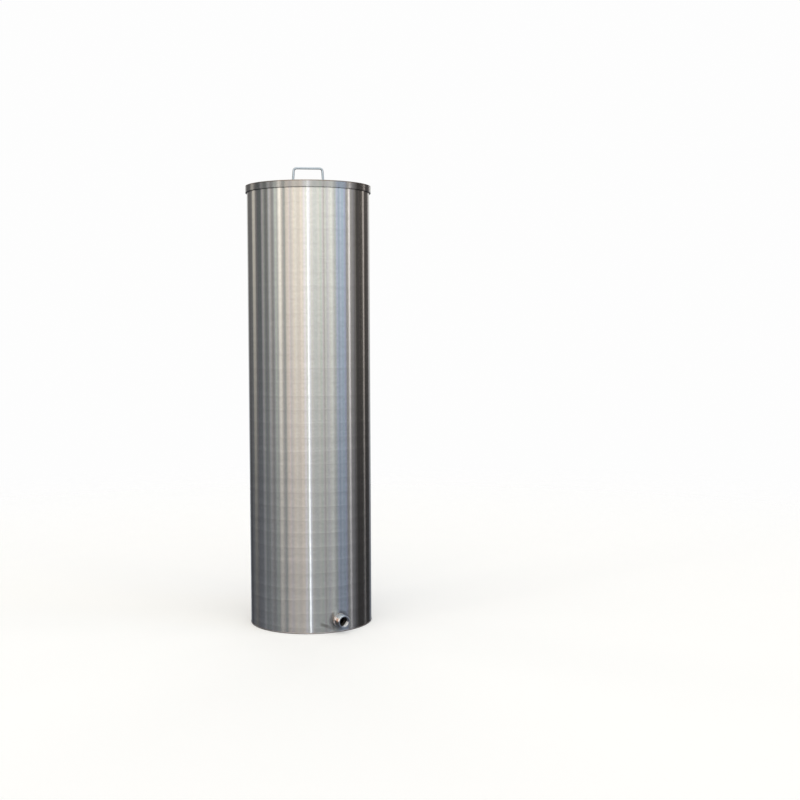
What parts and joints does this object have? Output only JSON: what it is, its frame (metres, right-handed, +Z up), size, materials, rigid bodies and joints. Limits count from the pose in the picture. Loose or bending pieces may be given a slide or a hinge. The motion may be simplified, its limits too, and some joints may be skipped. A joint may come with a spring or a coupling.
{
  "type": "stainless steel water tank",
  "caption": "Slim upright round stainless steel water tank with a brushed wall, flat base, slip-over lid with a bent-rod handle, and a threaded outlet socket low on the wall.",
  "frame": {"origin": "centre of the base plate's underside, on the tank's axis", "axes": "+Z up along the tank's axis, -Y out of the outlet socket"},
  "size_m": [0.6138, 0.6509, 2.246],
  "materials": {
    "brushed_wall": "belt brushed around the wall in level bands",
    "lid_sheet": "belt brushed sheet",
    "plain_sheet": "mill finish sheet",
    "ground_weld": "weld ground flush",
    "tinted_weld": "weld bead with straw and brown heat tint",
    "turned_steel": "turned and threaded",
    "drawn_rod": "smooth drawn rod"
  },
  "bodies": {
    "tank": {"base_plate": "plain_sheet", "base_weld": "tinted_weld", "lower_wall_front": "brushed_wall", "lower_wall_right": "brushed_wall", "lower_wall_back": "brushed_wall", "lower_wall_left": "brushed_wall", "lower_seam_weld": "ground_weld", "girth_weld": "ground_weld", "upper_wall_front": "brushed_wall", "upper_wall_right": "brushed_wall", "upper_wall_back": "brushed_wall", "upper_wall_left": "brushed_wall", "upper_seam_weld": "ground_weld", "top_rim": "plain_sheet", "outlet_socket": "turned_steel", "outlet_weld": "tinted_weld"},
    "lid": {"lid_disc": "lid_sheet", "lid_skirt": "lid_sheet", "lid_seam_weld": "ground_weld", "lid_edge_weld": "ground_weld", "handle_rod": "drawn_rod", "handle_weld_right": "tinted_weld", "handle_weld_left": "tinted_weld"}
  },
  "joints": [
    {"name": "lid_lift", "type": "slide", "parent": "tank", "child": "lid", "axis": [0, 0, 1], "range_m": [0, 0.3]}
  ]
}
